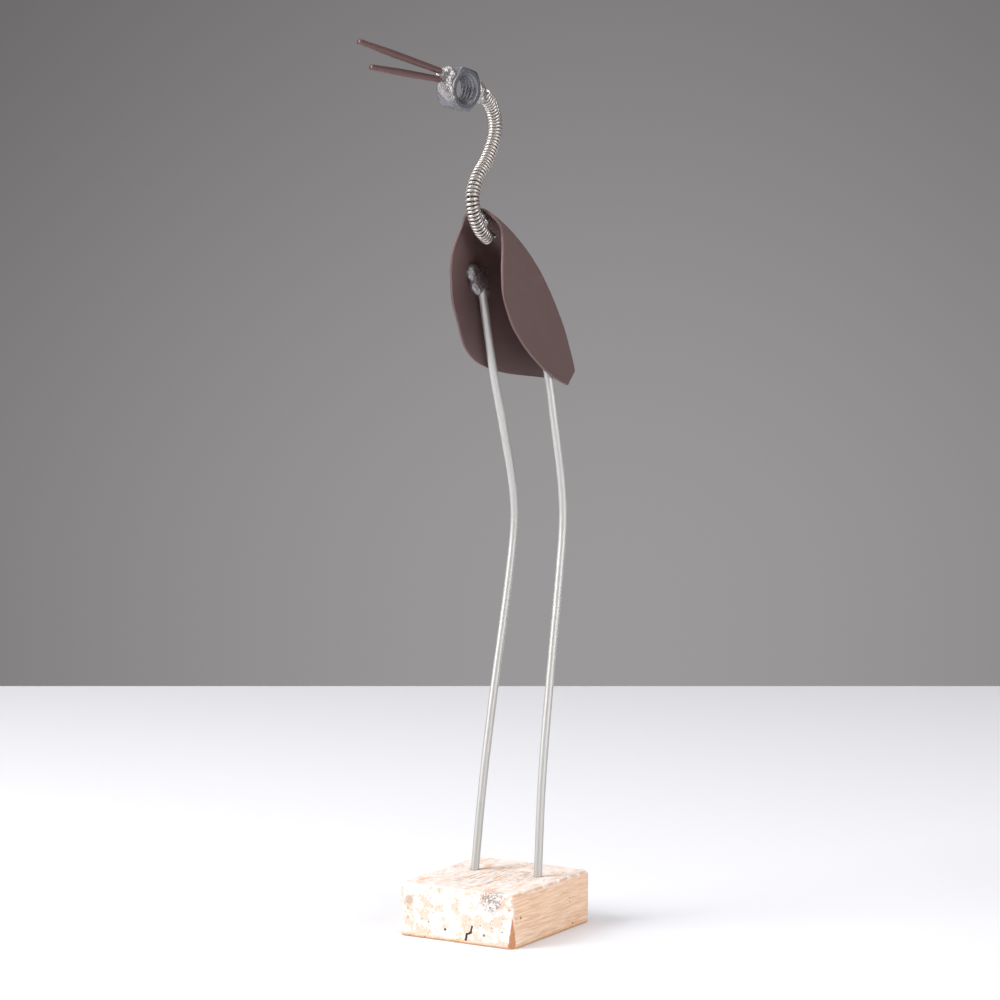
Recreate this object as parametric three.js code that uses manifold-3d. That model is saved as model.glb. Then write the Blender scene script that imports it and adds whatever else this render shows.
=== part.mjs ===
// A crane put together from scrap steel. A folded leaf of sheet is the body, two bent wires are the legs, a
// close-wound spring is the neck, and a hexagon nut with two rods is the head. It stands on a wooden block.
//
// Millimetres, +Z up. The origin is the centre of the block's underside. The bird looks along -Y and its left
// is +X. The block's grain runs along Y.

import * as THREE from 'three';
import { mergeVertices } from 'three/addons/utils/BufferGeometryUtils.js';
import Module from 'manifold-3d';

const wasm = await Module();
wasm.setup();

const degree = Math.PI / 180;
const quarterTurn = Math.PI / 2;
const fullTurn = 2 * Math.PI;

// Clearance between neighbouring pieces, and the bird's own middle plane
const gap = 0.3;
const middleX = 1.3;

// Wooden block
const blockWidth = 48.6;
const blockLength = 55.8;
const blockHeight = 19.7;
const blockCornerRadius = 2.4;
const topEdgeWear = 1.7;
const bottomEdgeWear = 0.8;
const cornerChipHeight = 11;
const cornerChipDepth = 0.9;

// Legs: bent wire, sunk in drilled holes
const legWireDiameter = 3.1;
const legHoleDepth = 14;

// Body: a leaf of sheet folded over a ridge that curves down from the neck to the tail
const sheetThickness = 1.0;
const ridgeFront = { y: -14.1, z: 263.5 };
const ridgeRadius = 112;
const ridgeFrontSlope = 20 * degree;
const ridgeLength = 90.5;
const foldRadius = { front: 8.6, tail: 5.3 };
const flankSplay = { front: 8.5 * degree, tail: 14.5 * degree };

// Neck: a close-wound spring
const springDiameter = 5.4;
const springPitch = 1.3;
const grooveDepth = 0.45;

// Head: a nut with a ten millimetre thread, on its side, turned towards the bird's right, with its left face
// leaning down a little
const nutAcrossFlats = 14.6;
const nutAcrossCorners = 16.5;
const nutThickness = 8;
const nutChamferDiameter = 13.9;
const nutChamferDepth = 0.9;
const threadRadius = { inner: 4.25, outer: 5.0 };
const threadPitch = 1.5;
const countersinkRadius = 5.4;
const headCentre = new THREE.Vector3(-1.3, -22.8, 305.1);
const headYaw = 12 * degree;
const headLean = 4.5 * degree;
const nutPitch = 13 * degree;

// Bill: two rods that taper to cut tips
const billRootDiameter = 2.35;
const billMiddleDiameter = 2.7;
const billTipDiameter = 2.1;
const upperBill = { root: [-9.8, 6.0, 0], tip: [-50.5, 15.2, 0] };
const lowerBill = { root: [-9.8, 3.05, 0], tip: [-44.0, 6.6, 0] };

// Weld lumps as a centre and three half-widths: at the bill and behind the nut in the head's own frame, and
// under the body's front rim
const billWeld = [[-7.6, 2.2, 0.5], [3.5, 6.0, 3.8]];
const neckWeld = [[10.2, -1.4, 0.4], [3.3, 4.5, 2.7]];
const rimWeld = [[1.9, -13.2, 258.8], [2.4, 3.0, 3.2]];

// How finely the round forms are divided
const sheetRows = 15;
const edgeSegments = 3;
const legSteps = 40;
const wireHalfSides = 5;
const legHoleSides = 16;
const springSides = 10;
const springStepsPerTurn = 4;
const billSides = 10;
const billSteps = 8;
const threadSides = 20;
const chamferSides = 36;
const lumpDetail = 2;

function material(color, roughness, metalness) {
  return new THREE.MeshStandardMaterial({ color, roughness, metalness });
}

const wood = material(0xdcc6ae, 0.9, 0);
const galvanisedWire = material(0x9a968f, 0.5, 0.8);
const oxidisedSheet = material(0x5f4a48, 0.6, 0.6);
const springSteel = material(0x8d8780, 0.4, 0.9);
const darkSteel = material(0x5a5c62, 0.45, 0.9);
const brownedSteel = material(0x5a3f3c, 0.5, 0.7);

// A closed mesh as a solid that can be joined and cut
function toSolid(geometry) {
  const bare = geometry.clone();
  bare.deleteAttribute('normal');
  bare.deleteAttribute('uv');
  const merged = mergeVertices(bare);
  return new wasm.Manifold(new wasm.Mesh({
    numProp: 3,
    vertProperties: merged.attributes.position.array,
    triVerts: new Uint32Array(merged.index.array),
  }));
}

function toGeometry(solid) {
  const mesh = solid.getMesh();
  const geometry = new THREE.BufferGeometry();
  geometry.setAttribute('position', new THREE.BufferAttribute(mesh.vertProperties, 3));
  geometry.setIndex(new THREE.BufferAttribute(mesh.triVerts, 1));
  return geometry;
}

// Triangles over a ring of points: a fan for a plain end, a strip for the end of a folded sheet, whose ring
// runs along the outside and back along the inside
function fanCap(count) {
  const faces = [];
  for (let k = 1; k < count - 1; k += 1) {
    faces.push([0, k, k + 1]);
  }
  return faces;
}

function stripCap(count) {
  const faces = [];
  const last = count - 1;
  for (let k = 0; k < count / 2 - 1; k += 1) {
    faces.push([k, k + 1, last - k - 1]);
    faces.push([k, last - k - 1, last - k]);
  }
  return faces;
}

// A closed skin over a row of rings, each running anticlockwise about the way the row goes
function loft(rings, capOf = fanCap) {
  const count = rings[0].length;
  const lastRing = (rings.length - 1) * count;
  const faces = [];
  for (let start = 0; start < lastRing; start += count) {
    for (let k = 0; k < count; k += 1) {
      const a = start + k;
      const b = start + (k + 1) % count;
      faces.push([a, b, b + count]);
      faces.push([a, b + count, a + count]);
    }
  }
  for (const [a, b, c] of capOf(count)) {
    faces.push([a, c, b]);
    faces.push([lastRing + a, lastRing + b, lastRing + c]);
  }
  const geometry = new THREE.BufferGeometry().setFromPoints(rings.flat());
  geometry.setIndex(faces.flat());
  return geometry;
}

// Rings around a curve. The radius may change along it and around it.
function sweep(curve, steps, sides, radiusAt) {
  const frames = curve.computeFrenetFrames(steps, false);
  const rings = [];
  for (let i = 0; i <= steps; i += 1) {
    const centre = curve.getPointAt(i / steps);
    const ring = [];
    for (let k = 0; k < sides; k += 1) {
      const angle = k * fullTurn / sides;
      const radius = radiusAt(i / steps, angle);
      ring.push(centre.clone()
        .addScaledVector(frames.normals[i], radius * Math.cos(angle))
        .addScaledVector(frames.binormals[i], radius * Math.sin(angle)));
    }
    rings.push(ring);
  }
  return loft(rings);
}

// A lump of weld: a ball pulled out to three half-widths
function weldLump([centre, halfWidths]) {
  const lump = new THREE.IcosahedronGeometry(1, lumpDetail);
  lump.scale(...halfWidths);
  lump.translate(...centre);
  return lump;
}

function vectors(points) {
  return points.map((point) => new THREE.Vector3(...point));
}

// Body. A place on the sheet is given by its distance along the ridge, its distance across the sheet from the
// ridge, and its depth below the outer face.
const ridgeCentre = {
  y: ridgeFront.y - ridgeRadius * Math.sin(ridgeFrontSlope),
  z: ridgeFront.z - ridgeRadius * Math.cos(ridgeFrontSlope),
};

function between(range, share) {
  return THREE.MathUtils.lerp(range.front, range.tail, THREE.MathUtils.clamp(share, 0, 1));
}

function foldShape(along) {
  const share = along / ridgeLength;
  const radius = between(foldRadius, share);
  const bend = quarterTurn - between(flankSplay, share);
  return { radius, bend, length: radius * bend };
}

function sheetPoint(along, across, depth) {
  const { radius, bend, length } = foldShape(along);
  const angle = Math.min(Math.abs(across) / radius, bend);
  const straight = Math.max(Math.abs(across) - length, 0);
  const halfWidth = (radius - depth) * Math.sin(angle) + straight * Math.cos(bend);
  const below = radius - (radius - depth) * Math.cos(angle) + straight * Math.sin(bend);
  const slope = ridgeFrontSlope + along / ridgeRadius;
  return new THREE.Vector3(
    middleX + Math.sign(across) * halfWidth,
    ridgeCentre.y + (ridgeRadius - below) * Math.sin(slope),
    ridgeCentre.z + (ridgeRadius - below) * Math.cos(slope),
  );
}

// The sheet folded and cut square at the tail, before its other edges are cut, between two depths below its
// outer face
function foldedSheet(outerDepth, innerDepth) {
  const overrun = 5;
  const flankReach = 62;
  const foldSteps = 5;
  const flankSteps = 3;
  const rings = [];
  for (let i = 0; i <= sheetRows; i += 1) {
    const along = THREE.MathUtils.lerp(-overrun, ridgeLength, i / sheetRows);
    const foldLength = foldShape(along).length;
    const across = [0];
    for (let k = 1; k <= foldSteps; k += 1) {
      across.push(foldLength * k / foldSteps);
    }
    for (let k = 1; k <= flankSteps; k += 1) {
      across.push(foldLength + (flankReach - foldLength) * k / flankSteps);
    }
    const places = [...across.slice(1).reverse().map((place) => -place), ...across];
    const outside = places.map((place) => sheetPoint(along, place, outerDepth));
    const inside = places.map((place) => sheetPoint(along, place, innerDepth));
    rings.push([...outside, ...inside.reverse()]);
  }
  return toSolid(loft(rings, stripCap));
}

// The cut outline of each flank, seen from the side as [y, z] points down from the neck and back to the tail
const flankEdges = {
  right: [
    [-12.9, 257], [-16.2, 249.5], [-16.6, 242.5], [-13.2, 230.5], [-8.2, 221.5], [-2.8, 213.2], [3.4, 208.1],
    [10.8, 204.9], [20.1, 202.5], [29.8, 201.1], [41, 199.8], [54, 197.5],
  ],
  left: [
    [-10.9, 257], [-11.4, 250], [-14.0, 241.5], [-14.9, 232], [-11.2, 221.8], [-5.0, 215.2], [2.4, 209.8],
    [12.3, 204.6], [20.1, 201.7], [29, 199.2], [38.4, 197.2], [54, 194],
  ],
};

// Everything behind a flank's front edge and above its lower edge
function flankOutline(side) {
  const reach = { top: 280, back: 70, sideways: 30 };
  const rimDrop = 2;
  const overlap = 0.01;
  const shape = new THREE.Shape();
  shape.moveTo(reach.back, reach.top);
  shape.lineTo(ridgeFront.y, reach.top);
  shape.lineTo(ridgeFront.y, ridgeFront.z - rimDrop);
  shape.splineThru(flankEdges[side].map((point) => new THREE.Vector2(...point)));
  shape.lineTo(reach.back, flankEdges[side].at(-1)[1]);
  const prism = new THREE.ExtrudeGeometry(shape, {
    depth: reach.sideways, bevelEnabled: false, curveSegments: edgeSegments,
  });
  const [sideways, lengthwise, upward] = vectors([[1, 0, 0], [0, 1, 0], [0, 0, 1]]);
  const start = side === 'left' ? middleX - overlap : middleX + overlap - reach.sideways;
  prism.applyMatrix4(new THREE.Matrix4().makeBasis(lengthwise, upward, sideways).setPosition(start, 0, 0));
  return toSolid(prism);
}

function bodySheet() {
  const outline = flankOutline('left').add(flankOutline('right'));
  return toGeometry(foldedSheet(0, sheetThickness).intersect(outline));
}

// Weld inside the body lies along the sheet, a gap away from its inner face
const outsideReach = 15;
const sheetRoom = foldedSheet(-outsideReach, sheetThickness + gap);

function weldOnSheet(lump) {
  return toSolid(weldLump(lump)).subtract(sheetRoom);
}

// Legs. Each route runs from the weld inside the body down to the top of the block, and on into its hole.
const legs = {
  right: {
    route: [
      [-5.4, -0.6, 234.5], [-7.3, 10.5, 204.2], [-8.7, 20.0, 182.9], [-9.4, 28.5, 158.5],
      [-9.7, 29.8, 146.5], [-10.0, 26.2, 125.1], [-10.7, 17.1, 86.5], [-11.3, 9.9, 51.6], [-11.9, 5.1, 19.7],
    ],
    weld: [[-6.6, -1.4, 238.2], [3.0, 6.5, 5.2]],
  },
  left: {
    route: [
      [6.3, 19.6, 222.0], [9.1, 22.4, 201.7], [10.9, 24.2, 183.4], [11.8, 28.0, 159.6],
      [12.2, 27.9, 146.5], [12.6, 24.3, 126.7], [13.3, 15.9, 86.3], [13.9, 9.9, 53.9], [14.5, 6.0, 19.7],
    ],
    weld: [[7.8, 18.8, 223.4], [2.8, 5.2, 4.2]],
  },
};

function legLine(side) {
  const route = vectors(legs[side].route);
  const foot = route.at(-1);
  const downward = foot.clone().sub(route.at(-2)).normalize();
  return { route, foot, downward, end: foot.clone().addScaledVector(downward, legHoleDepth) };
}

function leg(side) {
  const { route, end } = legLine(side);
  const section = new THREE.Shape().absarc(0, 0, legWireDiameter / 2, 0, fullTurn);
  const wire = new THREE.ExtrudeGeometry(section, {
    steps: legSteps,
    curveSegments: wireHalfSides,
    extrudePath: new THREE.CatmullRomCurve3([...route, end], false, 'centripetal'),
  });
  return toGeometry(toSolid(wire).add(weldOnSheet(legs[side].weld)));
}

function legHole(side) {
  const { foot, downward, end } = legLine(side);
  const mouth = foot.clone().addScaledVector(downward, -2 * legWireDiameter);
  const bottom = end.clone().addScaledVector(downward, gap);
  const flatAllowance = 0.05;
  const radius = legWireDiameter / 2 + gap + flatAllowance;
  return toSolid(sweep(new THREE.LineCurve3(bottom, mouth), 1, legHoleSides, () => radius));
}

// Block: a stack of rounded rectangles whose inset follows the wear of the edges, less the two leg holes and
// a chip split off the lower part of its front left corner
function blockRing(z, inset) {
  const stepsPerCorner = 4;
  const x = blockWidth / 2 - inset - blockCornerRadius;
  const y = blockLength / 2 - inset - blockCornerRadius;
  const ring = [];
  [[x, y], [-x, y], [-x, -y], [x, -y]].forEach(([cornerX, cornerY], quarter) => {
    for (let i = 0; i <= stepsPerCorner; i += 1) {
      const angle = (quarter + i / stepsPerCorner) * quarterTurn;
      const around = new THREE.Vector3(Math.cos(angle), Math.sin(angle), 0);
      ring.push(new THREE.Vector3(cornerX, cornerY, z).addScaledVector(around, blockCornerRadius));
    }
  });
  return ring;
}

function cornerChip() {
  const size = 20;
  const outermost = blockCornerRadius * (1 - Math.SQRT1_2);
  const chip = new THREE.BoxGeometry(size, size, 3 * size);
  chip.translate(size / 2, 0, 0);
  chip.rotateY(Math.atan(cornerChipDepth / cornerChipHeight));
  chip.rotateZ(-quarterTurn / 2);
  chip.translate(blockWidth / 2 - outermost, outermost - blockLength / 2, cornerChipHeight);
  return toSolid(chip);
}

function woodenBlock() {
  const edgeSteps = 3;
  const lower = [];
  const upper = [];
  for (let i = 0; i <= edgeSteps; i += 1) {
    const angle = i / edgeSteps * quarterTurn;
    const level = 1 - Math.sin(angle);
    const inset = 1 - Math.cos(angle);
    lower.unshift(blockRing(bottomEdgeWear * level, bottomEdgeWear * inset));
    upper.push(blockRing(blockHeight - topEdgeWear * level, topEdgeWear * inset));
  }
  return toGeometry(toSolid(loft([...lower, ...upper]))
    .subtract(legHole('right'))
    .subtract(legHole('left'))
    .subtract(cornerChip()));
}

// Head. Its own frame has -X forward along the bill, +Y up and +Z along the nut's hole to the bird's left.
function headFrame() {
  const backward = new THREE.Vector3(Math.sin(headYaw), Math.cos(headYaw), 0);
  const upward = new THREE.Vector3(0, 0, 1).applyAxisAngle(backward, headLean);
  const leftward = new THREE.Vector3().crossVectors(backward, upward);
  return new THREE.Matrix4().makeBasis(backward, upward, leftward).setPosition(headCentre);
}

// Solids of revolution about the hole's axis, from [radius, place along the axis] points
function turned(profile, sides) {
  const geometry = new THREE.LatheGeometry(profile.map((point) => new THREE.Vector2(...point)), sides);
  return geometry.rotateX(quarterTurn);
}

function threadedHole() {
  const face = nutThickness / 2;
  const overrun = 1;
  const lead = countersinkRadius - threadRadius.inner;
  const turns = Math.floor((nutThickness - 2 * lead) / threadPitch);
  const profile = [[0, -face - overrun], [countersinkRadius, -face - overrun], [countersinkRadius, -face]];
  for (let i = 0; i < turns; i += 1) {
    const crest = (i - turns / 2) * threadPitch;
    profile.push([threadRadius.inner, crest]);
    profile.push([threadRadius.outer, crest + threadPitch / 2]);
  }
  profile.push([threadRadius.inner, turns / 2 * threadPitch]);
  profile.push([countersinkRadius, face], [countersinkRadius, face + overrun], [0, face + overrun]);
  return turned(profile, threadSides);
}

function hexagon(growth) {
  const cornerRadius = (nutAcrossFlats / 2 + growth) / Math.cos(30 * degree);
  const prism = new THREE.CylinderGeometry(cornerRadius, cornerRadius, nutThickness + 2 * growth, 6);
  return prism.rotateX(quarterTurn).rotateZ(-nutPitch);
}

function headNut() {
  const face = nutThickness / 2;
  const faceRadius = nutChamferDiameter / 2;
  const cornerRadius = nutAcrossCorners / 2;
  const chamfered = turned([
    [0, -face], [faceRadius, -face], [cornerRadius, nutChamferDepth - face],
    [cornerRadius, face - nutChamferDepth], [faceRadius, face], [0, face],
  ], chamferSides);
  return toGeometry(toSolid(hexagon(0))
    .intersect(toSolid(chamfered))
    .add(toSolid(weldLump(billWeld)))
    .subtract(toSolid(billRod(upperBill, gap)))
    .subtract(toSolid(billRod(lowerBill, gap)))
    .subtract(toSolid(threadedHole())));
}

// Neck: the spring's outer skin with its turns as a screw-like groove, the weld that holds it to the back of
// the nut, and the weld under the body's front rim
function neckSpring() {
  const route = new THREE.CatmullRomCurve3(vectors([
    [middleX, -10.6, 303.4], [middleX, -5.1, 299.1], [middleX, -2.4, 293.0], [middleX, -3.4, 287.3],
    [middleX, -8.3, 280.1], [middleX, -15.2, 273.3], [middleX, -18.0, 267.0], [middleX, -16.6, 261.0],
    [middleX, -12.4, 255.5], [middleX, -6.6, 252.0],
  ]));
  const turns = Math.round(route.getLength() / springPitch);
  const radiusAt = (share, angle) => {
    const phase = share * turns * fullTurn - angle;
    return springDiameter / 2 - grooveDepth * (1 - Math.cos(phase)) / 2;
  };
  const spring = sweep(route, turns * springStepsPerTurn, springSides, radiusAt);
  const nutRoom = toSolid(hexagon(gap).applyMatrix4(headFrame()));
  const headWeld = toSolid(weldLump(neckWeld).applyMatrix4(headFrame())).subtract(nutRoom);
  return toGeometry(toSolid(spring).subtract(nutRoom).add(headWeld).add(weldOnSheet(rimWeld)));
}

// A rod of the bill, or with a growth the room it needs in the weld
function billRod({ root, tip }, growth = 0) {
  const [rootEnd, tipEnd] = vectors([root, tip]);
  const forward = tipEnd.clone().sub(rootEnd).normalize();
  rootEnd.addScaledVector(forward, -growth);
  const axis = new THREE.LineCurve3(rootEnd, tipEnd);
  const fullest = 0.55;
  const radiusAt = (share) => {
    const swelling = THREE.MathUtils.smoothstep(share, 0, fullest);
    const narrowing = THREE.MathUtils.smoothstep(share, fullest, 1);
    const swollen = THREE.MathUtils.lerp(billRootDiameter, billMiddleDiameter, swelling);
    return THREE.MathUtils.lerp(swollen, billTipDiameter, narrowing) / 2 + growth;
  };
  return sweep(axis, billSteps, billSides, radiusAt);
}

// The scene graph: the head's pieces hang in a turned group of their own
const crane = new THREE.Group();
const head = new THREE.Group();
head.applyMatrix4(headFrame());
crane.add(head);

function place(name, geometry, finish, parent) {
  const mesh = new THREE.Mesh(geometry, finish);
  mesh.name = name;
  parent.add(mesh);
}

place('wooden_base', woodenBlock(), wood, crane);
place('right_leg', leg('right'), galvanisedWire, crane);
place('left_leg', leg('left'), galvanisedWire, crane);
place('body_sheet', bodySheet(), oxidisedSheet, crane);
place('neck_spring', neckSpring(), springSteel, crane);
place('head_nut', headNut(), darkSteel, head);
place('upper_bill', billRod(upperBill), brownedSteel, head);
place('lower_bill', billRod(lowerBill), brownedSteel, head);

export default crane;
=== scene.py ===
# %% [markdown]
# # A crane welded up from scrap steel
#
# This lesson builds the looks of a small garden crane. Somebody made the bird from what lay about in a metal
# workshop: a leaf of thin sheet, two bent wires, a worn spring, a hexagon nut and two tapered rods. It stands
# on an offcut of old whitewashed wood.
#
# The solids with the true sizes are loaded first. Every piece made here takes the place of one of them, in the
# same frame: the bird looks along -Y, its left side is towards +X, and Z is up.

# %% Load the frame
import math

import bmesh
import bpy
import numpy as np
from mathutils import Matrix, Vector, noise
from mathutils.geometry import delaunay_2d_cdt


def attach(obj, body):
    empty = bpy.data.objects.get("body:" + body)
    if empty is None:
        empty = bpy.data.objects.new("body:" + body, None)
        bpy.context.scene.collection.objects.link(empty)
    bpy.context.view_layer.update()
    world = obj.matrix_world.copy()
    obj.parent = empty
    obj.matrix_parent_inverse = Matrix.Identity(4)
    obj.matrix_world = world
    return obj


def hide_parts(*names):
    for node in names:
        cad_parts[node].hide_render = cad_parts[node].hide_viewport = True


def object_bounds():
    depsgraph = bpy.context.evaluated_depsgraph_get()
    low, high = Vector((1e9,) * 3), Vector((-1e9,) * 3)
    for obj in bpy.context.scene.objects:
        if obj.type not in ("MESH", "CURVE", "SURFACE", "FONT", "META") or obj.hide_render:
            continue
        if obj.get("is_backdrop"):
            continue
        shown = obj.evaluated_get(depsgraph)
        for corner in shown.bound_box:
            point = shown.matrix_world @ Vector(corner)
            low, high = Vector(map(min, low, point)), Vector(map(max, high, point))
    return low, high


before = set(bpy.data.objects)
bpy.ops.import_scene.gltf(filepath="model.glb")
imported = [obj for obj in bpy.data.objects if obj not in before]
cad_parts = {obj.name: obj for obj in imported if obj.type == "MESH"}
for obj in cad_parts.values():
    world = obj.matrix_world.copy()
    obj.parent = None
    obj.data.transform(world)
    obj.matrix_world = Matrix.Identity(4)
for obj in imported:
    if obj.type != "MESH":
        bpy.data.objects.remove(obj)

box_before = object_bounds()
print("solids:", sorted(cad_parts))
print("box in mm:", [[round(1000 * place, 1) for place in corner] for corner in box_before])

# %% [markdown]
# ## A few workshop tools
#
# The sizes below are in millimetres, because that is how a workshop thinks. A mesh is scaled to metres only
# when it is handed to Blender. Points are kept as tables of rows, so a whole surface can be bent in one line.

# %% Meshes from points and faces
millimetre = 0.001
full_turn = 2 * math.pi


def mesh_from(name, points, faces, marks=None):
    """A mesh from points in millimetres. Each mark is a number for every point, which materials can read."""
    mesh = bpy.data.meshes.new(name)
    mesh.from_pydata((np.asarray(points, float) * millimetre).tolist(), [], faces)
    for mark, values in (marks or {}).items():
        layer = mesh.attributes.new(mark, "FLOAT", "POINT")
        layer.data.foreach_set("value", np.asarray(values, np.float32).ravel())
    mesh.polygons.foreach_set("use_smooth", [True] * len(mesh.polygons))
    mesh.update()
    return mesh


def piece_from(name, mesh, material, stands_for):
    """Shows a mesh as a piece that rides on the figure in place of a solid."""
    mesh.materials.clear()
    mesh.materials.append(material)
    piece = bpy.data.objects.new(name, mesh)
    bpy.context.scene.collection.objects.link(piece)
    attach(piece, "root")
    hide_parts(stands_for)
    triangles = sum(len(face.vertices) - 2 for face in mesh.polygons)
    print(f"{name}: {triangles} triangles")
    return piece


def unevenness(points, size, seed, octaves=3):
    """A smooth random height at each point, about -1 to 1, with bumps of the given size in millimetres."""
    shift = Vector((seed, 2.3 * seed, -1.7 * seed))
    return np.array([
        noise.fractal(Vector(point) / size + shift, 1.0, 2.0, octaves) for point in np.reshape(points, (-1, 3))
    ]).reshape(np.shape(points)[:-1])


# %% [markdown]
# A wire or a rod is a line with a round section carried along it. The line bends smoothly through a few stops.
# The section is carried without twisting, so that marks drawn along the wire stay straight.

# %% Lines, and round sections carried along them
def smooth_line(stops, count):
    """A smooth line through the stops, as evenly spaced points."""
    stops = np.asarray(stops, float)
    stops = np.vstack([2 * stops[0] - stops[1], stops, 2 * stops[-1] - stops[-2]])
    share = np.linspace(0, 1, 60, endpoint=False)[:, None]
    parts = []
    for before, start, end, after in zip(stops, stops[1:], stops[2:], stops[3:]):
        lead, span, trail = (np.linalg.norm(step) ** 0.5 for step in (start - before, end - start, after - end))
        leaving = span * ((start - before) / lead - (end - before) / (lead + span) + (end - start) / span)
        arriving = span * ((end - start) / span - (after - start) / (span + trail) + (after - end) / trail)
        step = end - start
        parts.append(start + share * leaving + share ** 2 * (3 * step - 2 * leaving - arriving)
                     + share ** 3 * (leaving + arriving - 2 * step))
    line = np.vstack([*parts, stops[-2:-1]])
    reach = np.r_[0, np.cumsum(np.linalg.norm(np.diff(line, axis=0), axis=1))]
    even = np.linspace(0, reach[-1], count)
    return np.stack([np.interp(even, reach, line[:, axis]) for axis in range(3)], axis=1)


def directions(line):
    ahead = np.gradient(np.asarray(line, float), axis=0)
    return ahead / np.linalg.norm(ahead, axis=1)[:, None]


def rings_round(line, radius_at, sides):
    """Rings of points round a line. radius_at takes the share of the way along and the angle round it."""
    ahead = directions(line)
    side = np.cross(ahead[0], [1.0, 0.2, 0.1])
    rings = []
    angles = np.arange(sides) * full_turn / sides
    for place, (centre, forward) in enumerate(zip(line, ahead)):
        side = side - forward * (side @ forward)
        side = side / np.linalg.norm(side)
        other = np.cross(forward, side)
        radius = radius_at(place / (len(line) - 1), angles)
        around = np.cos(angles)[:, None] * side + np.sin(angles)[:, None] * other
        rings.append(centre + np.broadcast_to(radius, angles.shape)[:, None] * around)
    return np.array(rings)


def skin(rows, columns, closed=True):
    """Faces over rows of points. Closed rows are rings; open rows make a sheet."""
    faces = []
    for row in range(rows - 1):
        for column in range(columns if closed else columns - 1):
            here = row * columns + column
            beside = row * columns + (column + 1) % columns
            faces.append((here, beside, beside + columns, here + columns))
    return faces


def capped(rings):
    """Points and faces of rings closed by a fan at each end."""
    rows, columns = rings.shape[:2]
    points = np.vstack([rings.reshape(-1, 3), rings[0].mean(axis=0), rings[-1].mean(axis=0)])
    faces = skin(rows, columns)
    start, end = rows * columns, rows * columns + 1
    last = (rows - 1) * columns
    for column in range(columns):
        beside = (column + 1) % columns
        faces.append((start, beside, column))
        faces.append((end, last + column, last + beside))
    return points, faces


# %% [markdown]
# Weld metal freezes in lumps that run into each other. Each lump here is a ball pulled out of round. The balls
# are melted into one skin by a fine voxel remesh, and the skin is then made uneven.

# %% Weld beads
def weld_mesh(name, lumps, grain, roughness, seed, frame_of=None):
    """One lumpy skin over balls given as (centre, half-widths). frame_of turns them into place."""
    build = bmesh.new()
    for centre, half_widths in lumps:
        place = Matrix.Translation(Vector(centre)) @ Matrix.Diagonal((*half_widths, 1))
        if frame_of is not None:
            place = frame_of @ place
        bmesh.ops.create_icosphere(build, subdivisions=3, radius=1, matrix=place)
    rough = bpy.data.meshes.new(name)
    build.to_mesh(rough)
    build.free()
    holder = bpy.data.objects.new(name + "_rough", rough)
    bpy.context.scene.collection.objects.link(holder)
    melt = holder.modifiers.new("melt", "REMESH")
    melt.mode = "VOXEL"
    melt.voxel_size = grain
    even = holder.modifiers.new("even", "SMOOTH")
    even.iterations = 3
    melted = bpy.data.meshes.new_from_object(holder.evaluated_get(bpy.context.evaluated_depsgraph_get()))
    bpy.data.objects.remove(holder)
    points = np.array([vertex.co for vertex in melted.vertices])
    normals = np.array([vertex.normal for vertex in melted.vertices])
    bumps = unevenness(points, 1.3, seed) + 0.6 * unevenness(points, 0.5, seed + 5, 2)
    points = points + normals * (roughness * bumps)[:, None]
    faces = [tuple(face.vertices) for face in melted.polygons]
    bpy.data.meshes.remove(melted)
    bpy.data.meshes.remove(rough)
    return points, faces


# %% [markdown]
# ## Paints
#
# A material is a network of nodes. To keep it readable, a number that varies over a surface is wrapped in the
# class Amount, so that shader maths is written with + - * / as any sum is.

# %% Numbers and paints
class Amount:
    """A number that varies over a surface."""

    def __init__(self, paint, socket):
        self.paint = paint
        self.socket = socket

    def sum(self, operation, *numbers):
        return self.paint.get("ShaderNodeMath", {"operation": operation}, dict(enumerate(numbers)))

    def __add__(self, other):
        return self.sum("ADD", self, other)

    def __mul__(self, other):
        return self.sum("MULTIPLY", self, other)

    def __sub__(self, other):
        return self.sum("SUBTRACT", self, other)

    def __truediv__(self, other):
        return self.sum("DIVIDE", self, other)

    def __pow__(self, other):
        return self.sum("POWER", self, other)

    def __rsub__(self, other):
        return self.sum("SUBTRACT", other, self)

    def __rtruediv__(self, other):
        return self.sum("DIVIDE", other, self)

    def __neg__(self):
        return self.sum("MULTIPLY", self, -1)

    def __abs__(self):
        return self.sum("ABSOLUTE", self)

    __radd__ = __add__
    __rmul__ = __mul__

    def at_least(self, other):
        return self.sum("MAXIMUM", self, other)

    def at_most(self, other):
        return self.sum("MINIMUM", self, other)

    def rise(self, low, high):
        """0 below low and 1 above high, with a soft step between. With high under low it falls instead."""
        return self.paint.get("ShaderNodeMapRange", {"interpolation_type": "SMOOTHSTEP"},
                              {"Value": self, "From Min": low, "From Max": high})

    def hump(self, centre, width):
        """1 at the centre, falling softly to 0 at that distance to either side."""
        return abs(self - centre).rise(width, 0)


def rgb(red, green, blue):
    """A colour as a screen shows it, 0 to 255, turned into amounts of light."""
    parts = [value / 255 for value in (red, green, blue)]
    return tuple(part / 12.92 if part <= 0.04045 else ((part + 0.055) / 1.055) ** 2.4 for part in parts)


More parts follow.
